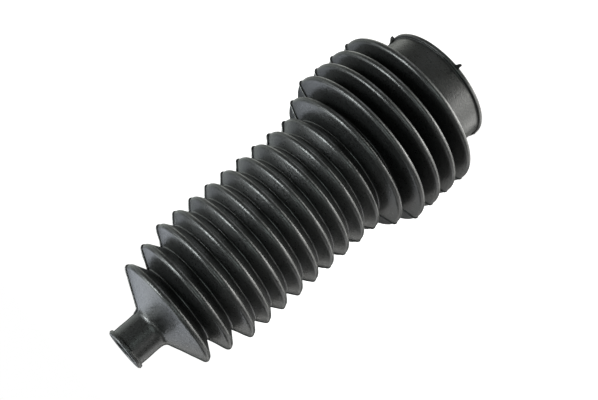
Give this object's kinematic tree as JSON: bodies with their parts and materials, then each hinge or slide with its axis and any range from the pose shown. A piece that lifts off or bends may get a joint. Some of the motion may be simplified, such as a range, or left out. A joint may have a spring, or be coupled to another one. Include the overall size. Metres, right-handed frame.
{
  "type": "bellows boot",
  "caption": "Moulded rubber bellows boot: a folded sleeve between a wide clamping cuff and a narrow neck that keeps dirt and water off a sliding rod.",
  "frame": {"origin": "centre of the wide cuff's end face, on the axis", "axes": "+Z along the axis, from the wide cuff to the narrow neck; X lies in the mould's parting plane; the torn tag of flash is on the -Y side"},
  "size_m": [0.0803, 0.0792, 0.1834],
  "materials": {
    "rubber": "matt black, fine moulded texture"
  },
  "bodies": {
    "root": {"bellows_boot": "rubber"}
  },
  "joints": []
}
